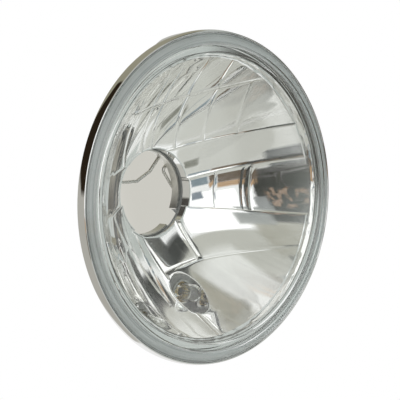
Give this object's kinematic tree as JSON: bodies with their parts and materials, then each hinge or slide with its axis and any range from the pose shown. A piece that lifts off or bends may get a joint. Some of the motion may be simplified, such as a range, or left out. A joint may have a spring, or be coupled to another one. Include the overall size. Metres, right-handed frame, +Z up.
{
  "type": "motorcycle headlight insert",
  "caption": "Round headlight insert with a clear domed glass, a faceted mirror bowl, a chromed rim, a notched bulb seat with a wire clip, and a small pilot lamp.",
  "frame": {"origin": "on the lamp's axis, in the plane of the rim band's back face", "axes": "the lamp faces -Y, +Z is up as fitted on the machine, +X is to the right seen from the front"},
  "size_m": [0.146, 0.0642, 0.146],
  "materials": {
    "clear_glass": "polished",
    "sealant": "matte",
    "chromed_rim": "polished",
    "mirror_coat": "aluminised",
    "zinc_steel": "zinc plated",
    "rivet_steel": "zinc plated",
    "spring_wire": "drawn",
    "grommet_rubber": "matte",
    "socket_steel": "zinc plated",
    "bulb_clear": "polished",
    "stem_glass": "pressed",
    "cap_brass": "rolled",
    "black_glass": "glassy",
    "solder": "cast",
    "lead_wire": "drawn",
    "tungsten": "coiled",
    "fibre": "pressed",
    "spring_brass": "rolled",
    "terminal_brass": "stamped",
    "earth_steel": "tinned"
  },
  "bodies": {
    "lamp": {"lens": "clear_glass", "lens_seal": "sealant", "rim_band": "chromed_rim", "reflector": "mirror_coat", "bulb_seat": "zinc_steel", "seat_rivets": "rivet_steel", "pilot_grommet": "grommet_rubber", "socket_shell": "socket_steel", "bulb_glass": "bulb_clear", "bulb_stem": "stem_glass", "bulb_cap": "cap_brass", "cap_insulator": "black_glass", "cap_contact": "solder", "bulb_leads": "lead_wire", "bulb_filament": "tungsten", "socket_insulator": "fibre", "contact_spring": "spring_brass", "live_terminal": "terminal_brass", "earth_terminal": "earth_steel"},
    "clip": {"bulb_clip": "spring_wire"}
  },
  "joints": [
    {"name": "clip_hinge", "type": "hinge", "parent": "lamp", "child": "clip", "pos_m": [0, 0.0487, -0.027], "axis": [-1, 0, 0], "range_deg": [0, 110]}
  ]
}
